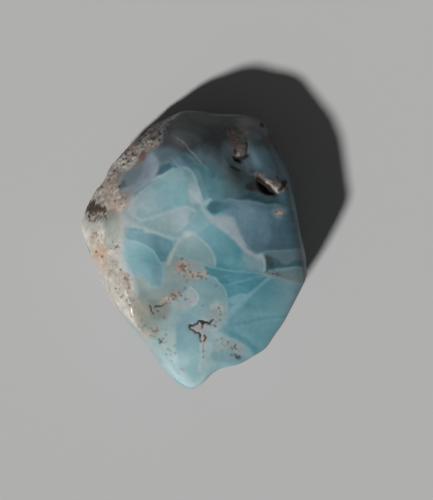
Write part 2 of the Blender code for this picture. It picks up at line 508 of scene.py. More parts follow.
# the dark grey-blue zone beyond the crest, in this patch and the ones after it up to the lilac pieces: partly
# the stone's own grey, partly painted shade where the face turns away from the key light
layCell([(148, 98), (262, 98), (300, 150), (306, 196), (255, 192), (225, 184), (205, 170), (190, 160),
    (165, 152), (150, 148)], soft=7, deep=0.9, grey=0.9, shine=0.5, **cleanFace)
layCell([(155, 112), (180, 112), (196, 120), (188, 132), (172, 136), (160, 126)], soft=6, deep=0.95,
    grey=1.0)
layCell([(176, 134), (188, 132), (200, 138), (196, 146), (184, 146), (176, 142)], soft=4, strength=0.7,
    deep=0.72, grey=0.9)
layCell([(174, 134), (188, 134), (204, 142), (225, 150), (232, 160), (214, 164), (196, 156), (178, 150)],
    soft=6, deep=0.82, grey=0.85)
layCell([(194, 152), (212, 158), (232, 172), (250, 184), (252, 196), (236, 202), (215, 200), (203, 196),
    (199, 180), (190, 164)], soft=5, deep=0.72, grey=0.55)
layCell([(199, 166), (212, 170), (222, 186), (222, 198), (206, 198), (200, 186)], soft=4, deep=0.64,
    grey=0.3)
layCell([(228, 170), (244, 172), (250, 182), (240, 188), (230, 184)], soft=5, deep=0.74, grey=0.6,
    sage=0.25)
layCell([(234, 158), (248, 158), (252, 168), (250, 178), (240, 170), (232, 166)], soft=4, deep=0.76,
    grey=0.75)
layCell([(222, 142), (231, 142), (236, 158), (238, 176), (228, 176), (222, 160)], soft=4, deep=0.68,
    grey=0.75)
layCell([(246, 118), (262, 120), (268, 130), (260, 140), (249, 138)], soft=4, deep=0.7, grey=0.95)
laySpots([(212, 174, 4)], soft=3, strength=0.5, crisp=False, deep=0.85)

# upper left: lilac, slate and teal pieces under the rind
layCell([(130, 188), (136, 178), (141, 168), (147, 158), (153, 152), (159, 156), (160, 166), (157, 176),
    (149, 181), (139, 187)], soft=4, ragged=1, deep=0.24, grey=0.05, lilac=0.9)
layCell([(151, 156), (157, 155), (158, 165), (156, 174), (150, 176), (149, 166)], soft=3, deep=0.14,
    grey=0.0, lilac=0.85)
layCell([(155, 150), (168, 147), (182, 151), (192, 160), (188, 167), (176, 166), (168, 160), (160, 161)],
    soft=4, deep=0.56, grey=0.5, lilac=0.5)
layCell([(180, 153), (192, 156), (202, 168), (206, 180), (200, 184), (194, 172), (186, 164)], soft=3,
    deep=0.72, grey=0.4)
layCell([(154, 178), (158, 170), (161, 164), (168, 162), (174, 165), (178, 167), (168, 172), (160, 175)],
    soft=1.3, deep=0.76, grey=0.2)
layVein([(156, 178), (158, 170), (162, 164), (168, 162)], wide=1.6, strength=0.5, deep=0.3)
layVein([(169, 156), (174, 160), (179, 167), (181, 170)], wide=1.6, strength=0.5, deep=0.35, grey=0.3)
layCell([(117, 190), (120, 178), (128, 169), (138, 164), (143, 168), (137, 177), (131, 186), (124, 192)],
    soft=3, ragged=1.5, deep=0.4, grey=0.7, lilac=0.35)
layCell([(118, 182), (125, 181), (127, 187), (122, 191), (117, 189)], deep=0.66, grey=0.7)

# the bowed cell and the lens under it
layCell([(127, 207), (132, 199), (138, 192), (147, 186), (155, 181), (165, 175), (175, 169), (184, 168),
    (187, 180), (189, 190), (190, 199), (184, 206), (176, 208), (168, 211), (161, 215), (154, 219),
    (146, 221), (138, 220), (130, 216)], soft=1.2, deep=(0.31, 0.43), grey=(0.55, 0.1),
    way=((132, 203), (172, 190)))
layCell([(166, 176), (175, 170), (184, 169), (186, 178), (178, 183), (166, 182)], soft=3, deep=0.38,
    grey=0.22)
layCell([(139, 208), (150, 212), (162, 209), (172, 204), (168, 210), (156, 217), (146, 219), (136, 216)],
    soft=2.5, strength=0.7, deep=0.45, grey=0.3)
layCell([(184, 168), (189, 168), (193, 172), (197, 180), (200, 190), (203, 198), (197, 203), (190, 203),
    (189, 190), (187, 178)], soft=1.4, deep=(0.5, 0.3), grey=(0.3, 0.5), way=((188, 170), (195, 192)))
layVein([(184, 167), (191, 171), (196, 180), (199, 190), (203, 199)], wide=1.8, strength=0.6, deep=0.25,
    grey=0.35)
layCell([(193, 168), (199, 172), (204, 182), (208, 192), (208, 198), (203, 196), (199, 184), (196, 176)],
    deep=0.58, grey=0.3)
layVein([(124, 194), (131, 189), (140, 184), (150, 180), (158, 177), (166, 173.5), (174, 168)], wide=(8, 2),
    soft=1.6, strength=0.85, deep=0.2, grey=0.45)
layVein([(129, 205), (136, 196), (147, 187.5), (158, 181.5), (168, 177)], wide=1.6, strength=0.4, deep=0.2)
layCell([(121, 190), (130, 190), (134, 196), (132, 206), (126, 210), (121, 204)], soft=3, deep=0.2,
    grey=0.8, blush=0.15)
layCell([(130, 217), (140, 221), (150, 220), (158, 216), (168, 212), (178, 209), (188, 207), (196, 209),
    (196, 215), (191, 221), (185, 228), (178, 232), (168, 233), (158, 232), (148, 230), (138, 226)],
    soft=1.3, deep=(0.3, 0.44), grey=(0.5, 0.35), sage=(0.0, 0.2), way=((172, 209), (160, 232)))
layVein([(140, 221), (150, 219.5), (158, 215.5), (168, 211.5), (178, 208.5), (188, 207)], wide=2.2,
    soft=1.2, strength=0.55, deep=0.22, grey=0.4)
layVein([(196, 214), (192, 221), (186, 228), (180, 232)], soft=1.2, strength=0.6, deep=0.56, grey=0.2)
layVein([(120, 222), (132, 226), (145, 230), (158, 234), (170, 237), (180, 240)], wide=(5, 3), soft=1.4,
    strength=0.8, deep=0.3, grey=0.45)
layVein([(122, 228), (132, 229.5), (142, 231)], wide=3.5, soft=1.5, strength=0.8, deep=0.7, grey=0.1)
layCell([(123, 229), (133, 232), (145, 233), (158, 236), (171, 240), (172, 249), (169, 256), (165, 261),
    (160, 261), (157, 256), (153, 250), (146, 245), (138, 242), (130, 239), (125, 235)], soft=1.2,
    deep=(0.6, 0.74), grey=0.1, way=((130, 234), (162, 254)))
layCell([(160, 238), (171, 241), (171, 250), (164, 252), (160, 246)], soft=3, strength=0.7, deep=0.56,
    grey=0.25)
layCell([(122, 239), (131, 240.5), (140, 243.5), (148, 247), (154, 252), (158, 259), (161, 266), (162, 274),
    (159, 283), (150, 288), (141, 287), (133, 278), (128, 263), (123, 250)], soft=1.5, deep=(0.42, 0.6),
    grey=0.02, way=((127, 256), (150, 264)))
layVein([(124, 239.5), (132, 241), (140, 243.5), (148, 247.5), (155, 254), (160, 263)], wide=1.6,
    strength=0.45, deep=0.34, grey=0.25)
layCell([(157, 262), (161, 266), (163, 275), (160, 285), (153, 284), (150, 275), (153, 267)], soft=3.5,
    deep=0.68, grey=0.15)
layCell([(136, 274), (146, 280), (152, 288), (146, 296), (138, 292), (133, 282)], soft=4, deep=0.46,
    grey=0.5, sage=0.5)
layCell([(116, 250), (122, 246), (127, 260), (132, 274), (137, 290), (132, 296), (124, 284), (118, 268)],
    soft=4, deep=0.24, grey=0.5)
layCell([(172, 250), (178, 252), (192, 260), (205, 265), (204, 272), (192, 282), (184, 292), (170, 298),
    (150, 297), (145, 291), (157, 287), (164, 278), (163, 265)], deep=0.54, grey=0.5, sage=0.35)
layCell([(180, 262), (192, 262), (206, 267), (206, 274), (192, 277), (184, 272)], deep=0.46,
    grey=(0.85, 0.5), way=((188, 268), (204, 270)), flecks=0.1)

# middle: pale streak, fan-shaped lens and the large blue cell
layCell([(176, 246), (183, 237), (191, 235), (199, 238), (206, 244), (212, 253), (214.5, 262), (213, 267),
    (205, 264.5), (193, 260.5), (182, 257.5), (175, 254)], soft=1.1, deep=(0.44, 0.55), grey=0.25,
    sage=0.25, way=((190, 238), (204, 260)))
layVein([(191, 235), (199, 238), (206, 244), (212, 253), (214.5, 262), (213.5, 267)], wide=2.2, soft=1.1,
    strength=0.55, deep=0.32, grey=0.35)
layVein([(174, 254), (183, 257.5), (194, 261), (205, 264.5), (214, 267.5)], wide=1.8, strength=0.5,
    deep=0.36, grey=0.5)
layVein([(196, 231), (188, 234), (181, 240), (176, 247), (171, 255), (168, 263)], wide=(6, 3.5), soft=1.8,
    strength=0.85, deep=0.27, grey=0.6)
layVein([(183, 240), (177, 248), (173, 256)], wide=1.5, strength=0.5, deep=0.5, grey=0.3)
layCell([(196, 226), (203, 221), (212, 221), (220, 225), (229, 233), (237, 242), (246, 249), (257, 256),
    (263, 261), (263, 272.5), (250, 272), (235, 270), (222, 268), (216, 266), (215, 257), (209, 245),
    (198, 234)], soft=1.2, deep=(0.54, 0.68), grey=(0.06, 0.0), way=((202, 226), (224, 252)))
layCell([(243, 254), (252, 256), (262, 261), (263, 272), (250, 272), (240, 267)], soft=4, deep=0.44,
    grey=0.35)
layCell([(225, 258), (240, 258), (246, 266), (240, 270), (226, 268)], soft=3, strength=0.7, deep=0.6,
    grey=0.05)
layCell([(190, 214), (198, 212), (209, 217), (213, 222), (204, 229), (196, 232), (189, 227)], deep=0.45,
    grey=0.15)
layVein([(203, 224), (212, 222), (222, 227), (232, 237)], wide=5, soft=3, strength=0.5, deep=0.42, grey=0.1)
layCell([(206, 216), (214, 216), (222, 217.5), (230, 217), (235, 222), (238, 231), (243, 240), (250, 248.5),
    (257, 253.5), (263, 256), (266, 259), (265, 264), (260, 262), (252, 258), (244, 252.5), (235, 243),
    (227, 235), (218, 227), (210, 221)], deep=0.32, grey=0.65, lilac=0.2)
layVein([(218, 219), (228, 220), (233, 229), (240, 240), (249, 250)], wide=(6, 2.5), soft=1.6, strength=0.6,
    deep=0.3, grey=0.85)
layVein([(236, 219), (239, 230), (244, 240), (251, 248)], wide=1.6, strength=0.5, deep=0.5, grey=0.7)
layVein([(202, 205), (206, 212), (212, 217)], wide=3.6, soft=1.3, strength=0.75, deep=0.26, grey=0.4)
layVein([(189, 191), (196, 197), (203, 203), (210, 200)], wide=(3.5, 4.5), soft=1.8, strength=0.8,
    deep=0.26, grey=0.5)
layVein([(203, 203), (199, 209), (195, 214), (190, 224)], wide=3, soft=1.5, strength=0.5, deep=0.36,
    grey=0.4)
laySpots([(197, 206, 3.5)], soft=2, strength=0.5, crisp=False, deep=0.52, grey=0.25)

# right: the slate cell past the crest, with the teal eye beside it
layCell([(222, 202), (230, 199), (240, 200.5), (250, 201.5), (257, 203.5), (265, 204.5), (275, 205.5),
    (287, 208), (298, 211), (301, 225), (304, 238), (306, 249), (292, 250), (280, 251), (268, 251),
    (260, 253), (253, 250.5), (247, 245), (242, 236), (239, 226), (235, 218), (228, 216), (222, 211)],
    soft=1.1, deep=(0.54, 0.79), grey=(0.3, 0.42), lilac=0.45, way=((240, 220), (284, 236)))
layCell([(238, 202), (250, 203), (254, 214), (246, 222), (240, 216)], soft=4, strength=0.7, deep=0.5,
    grey=0.3)
layCell([(262, 210), (268, 210), (270, 240), (262, 244), (258, 228)], soft=4, strength=0.5, deep=0.6,
    grey=0.5)
layVein([(217, 205), (228, 205), (238, 208)], wide=(8, 3), soft=3, strength=0.6, deep=0.64, grey=0.25)
layCell([(208, 205), (211, 201), (217, 200.5), (224, 201.5), (232, 204), (231, 208), (223, 211), (216, 214),
    (211, 212.5), (208, 209)], ragged=0.6, deep=(0.86, 0.64), grey=(0.0, 0.2), way=((214, 206), (231, 207)))
layVein([(229, 198.5), (240, 200), (250, 201.5), (262, 204.5), (275, 206)], strength=0.5, deep=0.42,
    grey=0.3)
# a dark band along the face's edge past the crest, and a darker patch left of the larger pit: painted shade
# where the face drops away from the key light
layCell([(236, 198), (245, 194.5), (255, 192), (268, 191), (280, 193), (290, 195), (296, 203), (290, 207),
    (276, 204.5), (265, 203.5), (255, 200.5), (245, 199)], soft=1.6, deep=0.83, grey=0.45)
layCell([(247, 186), (256, 184), (263, 188), (262, 192), (250, 191)], soft=3, deep=0.95, grey=0.8)
layCell([(266, 252), (280, 251), (292, 250), (306, 249), (309, 258), (309, 266), (292, 264), (280, 262),
    (270, 262), (264, 257)], soft=2.2, deep=0.68, grey=0.65)
layCell([(266, 259), (274, 258), (285, 263), (300, 260), (308, 262), (308, 268), (290, 267.5), (276, 269),
    (266, 271)], deep=0.82, grey=0.45)
laySpots([(268, 260, 3), (271, 265, 2.5)], soft=2.5, crisp=False, ragged=1, deep=0.86, grey=0.8)
layVein([(247, 247), (253, 251.5), (258, 254)], wide=1.4, soft=0.8, strength=0.6, crisp=True, deep=0.85,
    grey=0.5)
layVein([(257, 256), (263, 258), (264.5, 264), (264, 272)], wide=3, strength=0.8, deep=0.22, grey=0.55)
layVein([(258, 261), (260, 266), (260, 271)], wide=1.4, soft=0.8, strength=0.4, deep=0.3, grey=0.5)
layVein([(267, 271), (278, 269.5), (290, 268), (304, 267)], wide=1.8, soft=0.9, strength=0.6, deep=0.42,
    grey=0.4)
layCell([(264, 272), (280, 270.5), (308, 268), (308, 280), (300, 286), (285, 281), (272, 278)], soft=2.5,
    deep=0.6, grey=0.55, sage=0.3)
layVein([(265, 275), (277, 277), (290, 281), (303, 285)], wide=2.5, soft=1.4, strength=0.6, deep=0.34,
    grey=0.75, specks=0.35)

# lower right: teal wedge, slanting vein and the big lower cell
layCell([(205, 265.5), (216, 266.5), (235, 269.5), (262, 274), (255, 279), (240, 281.5), (225, 280.5),
    (214, 277), (208, 272)], soft=1.2, deep=(0.72, 0.64), grey=0.0, way=((220, 272), (258, 275)))
layCell([(216, 279), (225, 280), (240, 281), (262, 277), (268, 279), (258, 288), (247, 297), (236, 300),
    (229, 300), (226, 292), (220, 284)], soft=1.5, deep=(0.76, 0.66), grey=0.0,
    way=((228, 290), (258, 282)))
layCell([(227, 301), (236, 301), (246, 297), (240, 304), (232, 312), (227, 317), (226, 309)], soft=1.6,
    deep=0.62, grey=0.05)
layCell([(222, 285), (236, 284), (248, 288), (245, 297), (235, 303), (226, 301)], strength=0.9, deep=0.64,
    grey=0.0)
layVein([(206, 265), (220, 268.5), (240, 271.5), (263, 274.5)], wide=1.8, soft=0.9, strength=0.7, deep=0.42,
    grey=0.2)
layVein([(230, 284), (238, 281.5), (250, 279), (264, 276)], wide=1.8, soft=0.9, strength=0.6, deep=0.48,
    grey=0.1)
layVein([(222, 276), (236, 275), (250, 276), (262, 276)], wide=1.3, soft=0.8, strength=0.4, deep=0.6)
layCell([(262, 284), (272, 279), (288, 284), (306, 288), (298, 304), (288, 320), (275, 337), (262, 352),
    (252, 349), (242, 341), (229, 334), (221, 326), (232, 315), (246, 300)], soft=1.5, deep=(0.64, 0.52),
    grey=(0.1, 0.35), sage=0.0, way=((262, 297), (290, 302)))
layCell([(240, 312), (262, 312), (282, 318), (272, 336), (262, 349), (246, 340), (234, 328)], soft=4,
    strength=0.75, deep=0.52, grey=0.12)
layVein([(269, 278), (257, 288), (247, 297), (238, 306), (230, 314), (223, 321)], wide=(3, 8), soft=1.6,
    strength=0.85, deep=0.5, grey=0.1)
layVein([(269, 278), (257, 287), (247, 296), (237, 305), (229, 312.5)], wide=1.4, soft=0.8, strength=0.5,
    deep=0.36, grey=0.15)
layCell([(228, 299), (235, 295), (243, 293), (247, 295), (244, 300), (236, 303), (230, 303)], soft=1.3,
    deep=0.46, grey=0.12)
layVein([(230, 325), (250, 322), (268, 319), (288, 316)], wide=2.2, soft=1.2, strength=0.5, deep=0.7,
    grey=0.15)
layVein([(217, 330), (228, 333), (240, 338), (250, 346), (258, 356)], wide=(7, 6), soft=2, strength=0.8,
    deep=0.7, grey=0.08)
layCell([(246, 330), (262, 324), (279, 323), (271, 338), (262, 350), (253, 342)], soft=3, deep=0.56,
    grey=0.15)
layCell([(206, 263), (262, 270), (266, 279), (250, 296), (230, 304), (218, 288)], soft=4, shine=1.0)

# lobe with the brown matrix, and the pieces below it
layCell([(190, 281), (203, 278), (213, 277.5), (220, 284), (225, 292), (227, 303), (226, 313), (222, 322),
    (214, 329), (203, 320), (192, 313), (193, 303), (197, 297), (192, 289)], soft=1.2, deep=0.53, grey=0.28,
    sage=0.1)
layVein([(213, 277), (220, 284), (225, 292), (227, 303), (226, 313), (222, 322)], wide=2.2, strength=0.6,
    deep=0.32, grey=0.35)
layCell([(206, 312), (212, 303), (220, 302), (226, 306), (224, 320), (216, 330), (207, 326)], soft=5,
    ragged=2, deep=0.45, grey=0.6, sage=0.25, specks=0.4, flecks=0.25)
layCell([(172, 304), (180, 298), (186, 292), (191, 288), (195, 291), (198.5, 296), (197, 302), (190, 307),
    (180, 311)], soft=1.3, deep=0.4, grey=0.7, sage=0.15, flecks=0.15)
layVein([(190, 288), (195, 291), (198.5, 296), (197, 302), (191, 306.5)], wide=1.8, strength=0.6, deep=0.24,
    grey=0.5)
layCell([(166, 311), (184, 312), (198, 314), (198, 321), (188, 326), (176, 328), (164, 322)], soft=4,
    ragged=1, deep=0.56, grey=0.2, sage=0.1)
layCell([(128, 302), (140, 296), (156, 296), (168, 304), (176, 313), (174, 330), (166, 343), (150, 345),
    (138, 332)], soft=8, ragged=2, deep=(0.54, 0.42), grey=0.35, sage=(0.85, 0.2),
    way=((144, 308), (170, 332)))
layCell([(150, 300), (162, 300), (170, 308), (166, 318), (154, 318), (148, 310)], soft=4, deep=0.66,
    grey=0.7, sage=0.6)
layCell([(136, 300), (148, 302), (150, 316), (142, 322), (134, 312)], soft=4, strength=0.7, rust=0.22,
    deep=0.5)
layCell([(148, 334), (164, 332), (175, 336), (177, 352), (172, 374), (160, 366), (146, 344)], soft=5,
    ragged=1.5, deep=(0.38, 0.28), grey=0.25, sage=(0.45, 0.1), way=((150, 340), (172, 366)))
layCell([(177, 323), (187, 324), (191, 330), (199, 335), (200, 350), (198, 366), (194, 380), (188, 386),
    (183, 378), (179, 360), (176, 345)], deep=(0.58, 0.48), grey=0.02, sage=0.15,
    way=((186, 338), (190, 368)))
layCell([(199, 336), (206, 341), (213, 345), (214, 360), (211, 376), (204, 384), (198, 372), (200, 352)],
    soft=1.6, deep=0.38, grey=0.45, sage=0.1)
layVein([(200, 342), (200, 354), (198, 368)], wide=1.6, strength=0.5, deep=0.28, grey=0.4)
layCell([(162, 362), (172, 366), (182, 374), (192, 380), (200, 376), (212, 366), (224, 368), (192, 402),
    (160, 372)], soft=5, deep=0.22, grey=0.12)
layCell([(213, 337), (224, 335), (236, 340), (246, 349), (241, 355), (226, 350), (214, 350)], soft=3,
    ragged=1.5, deep=0.43, grey=0.55, sage=0.3, specks=0.4, flecks=0.2)
layVein([(238, 345), (243, 350), (241, 355)], wide=1.4, soft=0.8, strength=0.6, dark=0.6, crust=0.6,
    rust=0.4)
layCell([(212, 352), (224, 351), (236, 355), (246, 360), (238, 364), (224, 362), (214, 360)], soft=3,
    ragged=1, deep=0.54, grey=0.25, sage=0.15)
layCell([(212, 362), (226, 364), (240, 364), (226, 374), (212, 382), (205, 378)], soft=4, deep=0.4,
    grey=0.2, sage=0.1)
layCell([(190, 326), (197, 325), (204, 323), (207, 326), (203, 332), (198, 333), (194, 331)], soft=1,
    deep=0.46, grey=1.0, blush=0.25)
layCell([(204, 325), (216, 322), (218, 330), (210, 337), (203, 336)], deep=0.46, grey=0.6, sage=0.2,
    flecks=0.15, specks=0.25)

# upper right: beyond the crest
layCell([(248, 150), (256, 147), (268, 150), (279, 158), (287, 168), (288, 178), (277, 177), (264, 174),
    (254, 169), (249, 160)], soft=5, ragged=1, deep=(0.6, 0.7), grey=(0.55, 0.45), lilac=0.4,
    way=((252, 150), (274, 166)))
# a paler stripe along the edge beside the upper pit: partly painted light where that edge catches the key
# light
layVein([(249, 143), (251, 150), (254, 157)], wide=4, soft=2.5, strength=0.7, deep=0.5, grey=0.6)
layVein([(247, 160), (251, 166), (253, 172)], wide=4, soft=2.5, strength=0.7, deep=0.82, grey=0.7)
laySpots([(257, 162, 3)], soft=3, strength=0.5, crisp=False, deep=0.5, grey=0.3)
layCell([(279, 196), (288, 190), (298, 196), (300, 208), (290, 209), (280, 205)], soft=3, deep=0.76,
    grey=0.4)
layVein([(176, 137), (182, 141), (187, 146), (191, 151), (196, 157), (203, 166)], wide=(2.2, 1.0), soft=0.9,
    strength=0.8, ends=0.12, deep=0.36, grey=0.95, blush=0.3)
layVein([(186, 150), (188, 154), (191, 158), (194, 160)], wide=1.2, soft=0.8, strength=0.5, ends=0.2,
    deep=0.42, grey=0.9)
layVein([(172, 136), (178, 141), (183, 147)], wide=4, soft=2.5, strength=0.4, deep=0.6, grey=1.0, blush=0.3)
layVein([(204, 162), (210, 168), (213, 172)], wide=1.2, soft=0.8, strength=0.4, deep=0.9, grey=0.8)
# pale lines just inside the outline, along the blunt end and down the right side: painted light, the glow of
# the thin translucent rim
layVein([(164, 114), (175, 111), (190, 110), (205, 111.5), (228, 114.5), (252, 115), (263, 119), (271, 131),
    (282, 153), (290, 176)], wide=3, soft=1.6, strength=0.75, deep=0.5, grey=0.9)
layVein([(290, 176), (295, 200), (300, 226), (305, 255)], wide=2.6, soft=1.4, strength=0.6, deep=0.5,
    grey=0.6)
layVein([(150, 127), (157, 119.5), (164, 114)], wide=2.4, soft=1.4, strength=0.6, crust=0.8, dark=0.2)
# another pale line along the blunt end's rim: painted light
layVein([(161, 116), (170, 112.5), (182, 111)], wide=2.6, soft=1.6, strength=0.7, deep=0.25, grey=0.9)

# rind down the left flank, thin and milky where it meets the blue
layCell([(116, 204), (125, 204), (130, 211), (131, 221), (127, 232), (125, 246), (123, 262), (116, 262)],
    soft=4, ragged=2, strength=0.75, deep=0.31, grey=0.8, sage=0.2)
layCell([(117, 95), (178, 104), (174, 115), (166, 123), (161, 135), (157, 146), (148, 151), (144, 159),
    (138, 166), (126, 171), (118, 181), (118, 190), (124, 197), (124, 206), (121, 213), (122, 224),
    (122, 236), (120, 250), (121, 262), (126, 272), (132, 282), (136, 294), (135, 310), (136, 325),
    (146, 342), (158, 360), (150, 372), (60, 350), (50, 150)], soft=6, ragged=2, rough=0.15, crust=1.0,
    shine=0.15, deep=0.26, grey=0.8, dark=0.24)
layCell([(60, 95), (176, 104), (172, 118), (164, 130), (158, 144), (146, 150), (136, 160), (122, 170),
    (116, 182), (120, 196), (110, 208), (94, 212), (60, 212)], soft=6, ragged=2, rough=1.0, shine=0.1,
    dark=0.34)
layCell([(145, 100), (178, 104), (172, 118), (164, 128), (158, 140), (148, 140), (138, 148), (130, 146)],
    soft=3, ragged=1, dark=0.55, specks=0.3)
layCell([(148, 118), (166, 116), (166, 126), (158, 136), (149, 134)], soft=3, ragged=1, dark=0.66)
layCell([(122, 152), (134, 146), (148, 142), (146, 152), (134, 158), (122, 162)], soft=3, ragged=1.5,
    dark=0.26, specks=0.45, flecks=0.35)
layCell([(114, 158), (128, 156), (138, 160), (126, 172), (114, 170)], soft=3, ragged=1, dark=0.06,
    flecks=0.2)
layCell([(100, 172), (112, 164), (122, 170), (116, 182), (112, 192), (100, 194)], soft=4, ragged=1,
    dark=0.18, blush=0.25, specks=0.1)
layCell([(102, 180), (114, 178), (120, 190), (116, 200), (104, 198)], soft=4, ragged=1.5, dark=0.28,
    rust=0.2)
layCell([(108, 192), (122, 190), (128, 204), (114, 214), (104, 206)], soft=4, ragged=1.5, dark=0.06,
    rust=0.38, blush=0.05)
layCell([(96, 186), (112, 184), (110, 200), (100, 202), (92, 196)], soft=4, ragged=1.5, dark=0.22)
layCell([(82, 216), (96, 218), (92, 240), (88, 246), (78, 232)], soft=4, dark=0.04)
layCell([(104, 216), (122, 214), (121, 238), (112, 250), (104, 244)], soft=5, ragged=2, crust=0.42,
    dark=0.36, deep=0.3, grey=0.75, sage=0.6)
layCell([(86, 220), (104, 222), (102, 240), (94, 246), (84, 238)], soft=4, ragged=1.5, dark=0.04)
layCell([(88, 236), (102, 240), (106, 262), (100, 274), (90, 256)], soft=5, dark=0.2, rust=0.14)
layCell([(104, 258), (118, 262), (126, 284), (118, 290), (106, 276)], soft=4, dark=0.3, rust=0.06)
layCell([(100, 272), (116, 286), (128, 306), (140, 326), (150, 344), (140, 350), (112, 316)], soft=4,
    dark=0.2)
layCell([(130, 296), (142, 300), (148, 320), (144, 332), (134, 316)], soft=5, strength=0.8, crust=0.6,
    dark=0.4, rust=0.12)
print("cells, veins and rind laid")

# stains
laySpots([(98, 254, 5), (102, 251, 4), (100, 257, 4)], soft=3, ragged=1.5, rust=0.95, crisp=False)
laySpots([(105, 265, 5), (96, 262, 4), (93, 238, 4), (99, 246, 4)], soft=4, ragged=1, rust=0.3, crisp=False)
laySpots([(128, 283, 3.5), (131, 279, 2.5), (126, 277, 2)], soft=2.5, ragged=1.2, rust=0.32, dark=0.3,
    specks=0.4)
laySpots([(149, 334, 5), (143, 336, 4), (156, 330, 4)], soft=4, ragged=1, rust=0.3, crust=0.5, dark=0.25)
laySpots([(170, 298, 5), (164, 300.5, 4), (176, 295, 4.5)], soft=4.5, ragged=2, strength=0.75, rust=0.4,
    crust=0.62, dark=0.3, specks=0.5, flecks=0.1)
laySpots([(186, 300, 6), (178, 302, 4)], soft=5, ragged=2, strength=0.7, specks=0.4)
laySpots([(178, 266, 3), (181, 267, 2.5), (176, 264, 2)], soft=1.8, ragged=1.2, blush=0.85, crust=0.5,
    dark=0.3, specks=0.35)
laySpots([(183, 271, 6), (187, 265, 5)], soft=5, ragged=2, strength=0.75, crust=0.55, dark=0.3, rust=0.2,
    specks=0.4, flecks=0.15)
laySpots([(198, 275, 4.5), (193, 277, 3.5), (203, 274, 3.5)], soft=3.5, ragged=2, strength=0.75, rust=0.35,
    crust=0.6, dark=0.34, specks=0.5, flecks=0.15)
laySpots([(143, 155, 3), (141, 158, 2.5), (143.5, 151.5, 1.5)], soft=1.5, ragged=1, blush=1.0, dark=0.7)
laySpots([(140, 163, 3.5)], soft=2.5, strength=0.5, blush=0.6)
laySpots([(150, 145, 4), (154, 146, 3)], soft=2, ragged=1.5, dark=0.22, rust=0.3)
laySpots([(216, 305, 4), (219, 309, 3), (212, 307, 2.5)], soft=3, ragged=1.5, strength=0.7, deep=0.2,
    grey=0.9, crust=0.5, dark=0.16, flecks=0.3)
laySpots([(279, 213, 5.5), (274, 211, 4), (285, 212, 4)], soft=4, ragged=2, strength=0.8, crust=0.5,
    dark=0.42, deep=0.6, specks=0.35, flecks=0.4)
laySpots([(291, 211, 2)], soft=1.5, ragged=1, crust=0.5, dark=0.35, strength=0.6)
laySpots([(268, 271, 2.5), (273, 274, 2.5), (283, 278, 2)], soft=2, ragged=1, specks=0.6, crust=0.3,
    dark=0.5)
laySpots([(114, 243, 4), (117, 246, 3), (106, 229, 5), (94, 232, 4), (112, 266, 5)], soft=3, specks=0.2)
haze = {"radiusShare": 0.5, "softShare": 0.6}     # of a haze's spread in steps
for x, y, spread, much in (
        (160, 336, 12, 0.24), (167, 352, 9, 0.22), (150, 322, 8, 0.16), (226, 345, 8, 0.22),
        (217, 314, 8, 0.3), (106, 290, 10, 0.1), (130, 306, 8, 0.12), (207, 348, 4, 0.2)):
    laySpots([(x, y, spread * haze["radiusShare"])], soft=spread * haze["softShare"], ragged=1, specks=much)

# the black patch at the left corner
layCell([(82, 208), (86, 200), (90, 199), (93, 203), (98, 206), (104, 206), (106, 209), (102, 213),
    (95, 213), (89, 212), (85, 211)], soft=1.6, ragged=3.2, crisp=True, dark=0.86, soot=0.45, specks=0.6,
    rust=0.4)
laySpots([(90, 203, 3), (100, 209, 3.5), (104, 211, 2), (92, 210, 3)], soft=1.6, ragged=2.4, soot=0.7)
layCell([(84, 210), (96, 210), (108, 212), (109, 218), (96, 222), (86, 220)], soft=3, ragged=1.5,
    strength=0.7, specks=0.6, dark=0.3)
laySpots([(88, 216, 1), (90, 220, 1), (97, 217, 0.9), (105, 216, 1.3), (107, 218.5, 1), (92, 221, 0.7)],
    soft=0.6, ragged=0.5, soot=0.75)
laySpots([(105, 169, 1.4), (102, 187, 1.1), (144, 135, 1.5), (140, 140, 1.6), (142, 143, 1),
    (119, 186.5, 1.3)], soft=0.9, ragged=0.5, soot=0.75)

# cracks, brown beside the black
crack = {"brownWider": 2.4, "blackNarrower": 0.4}     # steps
for path, wide, cut in (
        ([(190, 325), (193, 325.8), (195, 324), (197, 324), (199, 321), (202, 321.4), (204.5, 322.6),
          (207, 322.2), (208.5, 324), (211, 321.5), (213.5, 319.5)], 2.5, 0.025),
        ([(202.5, 322), (203, 325), (202.5, 328)], 2.2, 0.02),
        ([(189.5, 326.5), (190.5, 329.5), (194, 331), (196, 332.8), (198.5, 332.6), (200, 335), (200, 338.5),
          (201, 342)], 2.2, 0.025),
        ([(204.5, 335.5), (205.5, 338), (204, 341.5)], 1.8, 0.01),
        ([(150, 305.5), (150.8, 308), (151.5, 311), (153.5, 313.5)], 1.8, 0.015),
        ([(155, 306.8), (158, 306), (160.5, 306.3), (164, 304.5)], 1.7, 0.015),
        ([(157, 310.5), (159, 311)], 1.4, 0.01),
        ([(180, 368), (184, 370.5)], 1.2, 0.01)):
    layVein(path, wide=wide + crack["brownWider"], soft=1.6, strength=0.4, crust=0.6, rust=0.25,
        dark=0.6, grey=0.9)
    layVein(path, wide=wide - crack["blackNarrower"], soft=0.7, crisp=True, ragged=0.5, depth=cut,
        soot=0.97, shine=0.0, specks=0.0)
layVein([(202.5, 335), (203, 346), (203.5, 357)], wide=3.4, soft=1.8, strength=0.6, ragged=0.5, crust=0.6,
    rust=0.3, dark=0.5, specks=0.6)
laySpots([(204.5, 337.5, 2)], soft=1.2, blush=0.8, crust=0.5, dark=0.4)
laySpots([(202.8, 322.3, 2.2)], ragged=0.4, soot=0.97, shine=0.0, depth=0.01)
